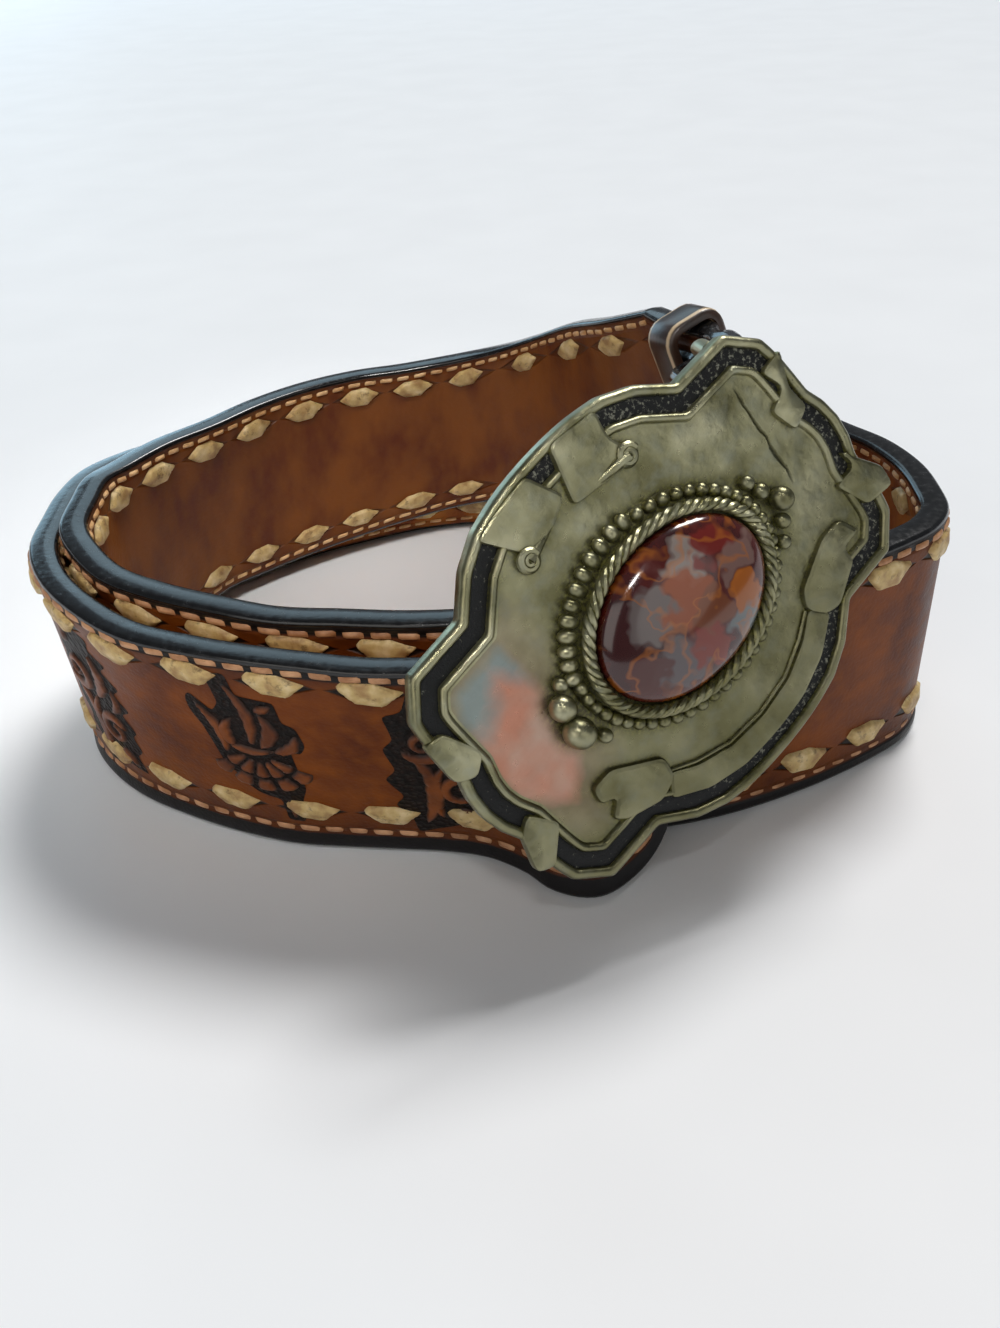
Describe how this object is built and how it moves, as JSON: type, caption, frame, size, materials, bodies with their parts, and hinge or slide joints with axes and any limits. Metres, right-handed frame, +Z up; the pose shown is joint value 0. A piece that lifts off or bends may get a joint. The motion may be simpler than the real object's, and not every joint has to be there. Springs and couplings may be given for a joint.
{
  "type": "western tooled belt",
  "caption": "Coiled leather belt with laced edges, a folded buckle end with keeper, and an oval stone-set plate buckle on a wire bail.",
  "frame": {"origin": "on the surface that the belt stands on, under the middle of its outer box", "axes": "+Z up along the strap's width, +X along the coil's long side, the buckle faces -Y and a little to +X and +Z"},
  "size_m": [0.1456, 0.1368, 0.0745],
  "materials": {
    "strap_leather": "tooled and dyed, semi-gloss, black painted edges",
    "keeper_leather": "dark dyed, smooth",
    "silver_alloy": "cast nickel alloy, worn and tarnished",
    "black_enamel": "black enamel, gritty where worn",
    "red_stone": "polished mottled stone, opaque"
  },
  "bodies": {
    "root": {"belt_strap": "strap_leather", "keeper_loop": "keeper_leather", "buckle_plate": "silver_alloy", "channel_enamel": "black_enamel", "centre_stone": "red_stone"}
  },
  "joints": []
}
